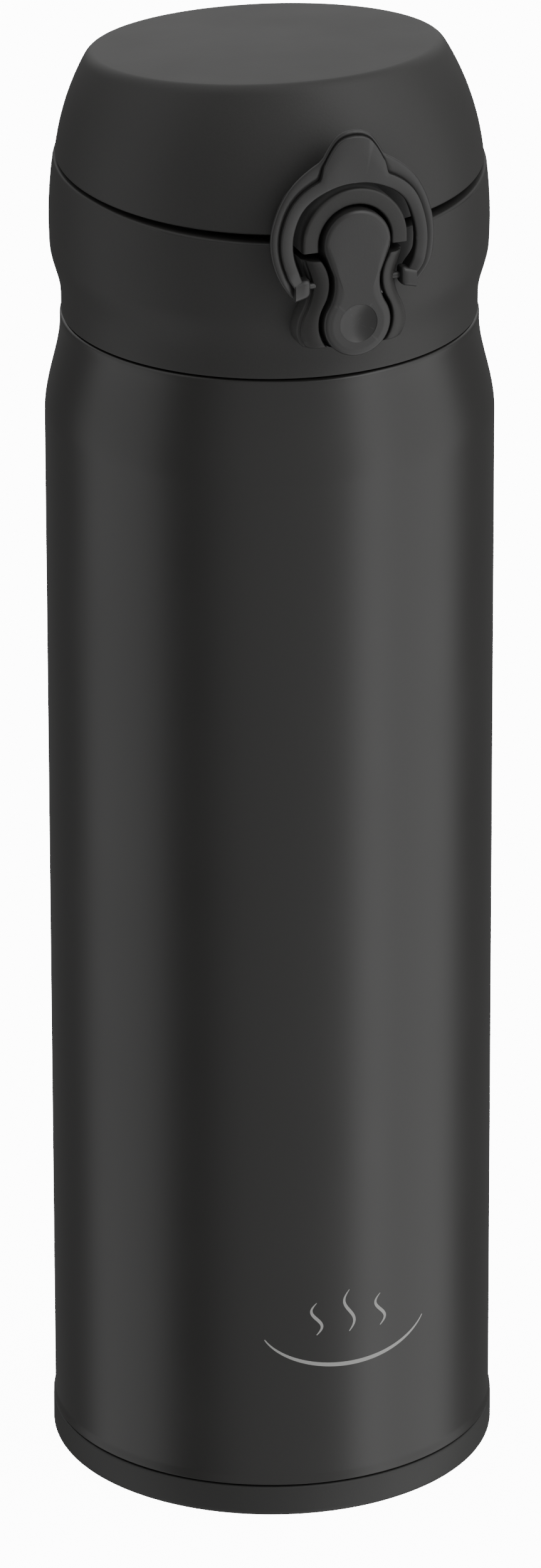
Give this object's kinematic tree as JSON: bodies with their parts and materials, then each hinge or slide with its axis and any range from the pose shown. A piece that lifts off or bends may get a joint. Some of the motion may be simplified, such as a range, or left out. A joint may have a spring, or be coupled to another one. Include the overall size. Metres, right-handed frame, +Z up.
{
  "type": "vacuum flask",
  "caption": "Slim insulated drinking flask with a flip lid, rocker release button and swinging lock ring on a screw-on drinking collar.",
  "frame": {"origin": "centre of the flat base, on the surface the flask stands on", "axes": "+Z up along the flask's axis; -Y toward the front, where the push button and lock ring are; +X to the flask's right as seen from the front"},
  "size_m": [0.0656, 0.0703, 0.2206],
  "materials": {
    "body_paint": "satin black powder-like paint on stainless steel",
    "steel": "bare stainless steel, satin",
    "foil": "bright copper-toned radiation foil",
    "getter_metal": "dull grey metal",
    "base_plastic": "satin black moulded plastic",
    "black_plastic": "matte black moulded plastic with a fine texture",
    "spout_plastic": "smooth black food-grade plastic",
    "silicone": "grey silicone",
    "pin_steel": "plain round steel wire and pin",
    "lock_plastic": "satin black moulded plastic"
  },
  "bodies": {
    "flask": {"outer_shell": "body_paint", "inner_vessel": "steel", "radiation_foil": "foil", "base_plate": "steel", "getter": "getter_metal", "vacuum_seal": "getter_metal", "base_cap": "base_plastic"},
    "stopper_carrier": {"stopper_gasket": "silicone"},
    "stopper": {"collar": "black_plastic", "spout": "spout_plastic", "spout_seal": "silicone", "hinge_pin": "pin_steel", "hinge_spring": "pin_steel", "button_pin": "pin_steel", "button_spring": "pin_steel"},
    "lid": {"lid_shell": "black_plastic", "lid_liner": "spout_plastic", "lid_gasket": "silicone"},
    "button": {"push_button": "lock_plastic"},
    "ring": {"lock_ring": "lock_plastic"}
  },
  "joints": [
    {"name": "stopper_rise", "type": "slide", "parent": "flask", "child": "stopper_carrier", "axis": [0, 0, 1], "range_m": [0, 0.00625]},
    {"name": "stopper_turn", "type": "hinge", "parent": "stopper_carrier", "child": "stopper", "pos_m": [0, 0, 0.1788], "axis": [0, 0, 1], "range_deg": [0, 450]},
    {"name": "lid_hinge", "type": "hinge", "parent": "stopper", "child": "lid", "pos_m": [0, 0.0312, 0.20331], "axis": [-1, 0, 0], "range_deg": [0, 125]},
    {"name": "button_press", "type": "hinge", "parent": "stopper", "child": "button", "pos_m": [0, -0.0325, 0.192], "axis": [1, 0, 0], "range_deg": [0, 7], "stiffness_Nm_per_rad": 0.25},
    {"name": "ring_swing", "type": "hinge", "parent": "stopper", "child": "ring", "pos_m": [0, -0.0336, 0.1942], "axis": [1, 0, 0], "range_deg": [0, 110]}
  ],
  "couplings": [
    {"joint": "stopper_rise", "follows": "stopper_turn", "m_per_rad": 0.00079577}
  ]
}
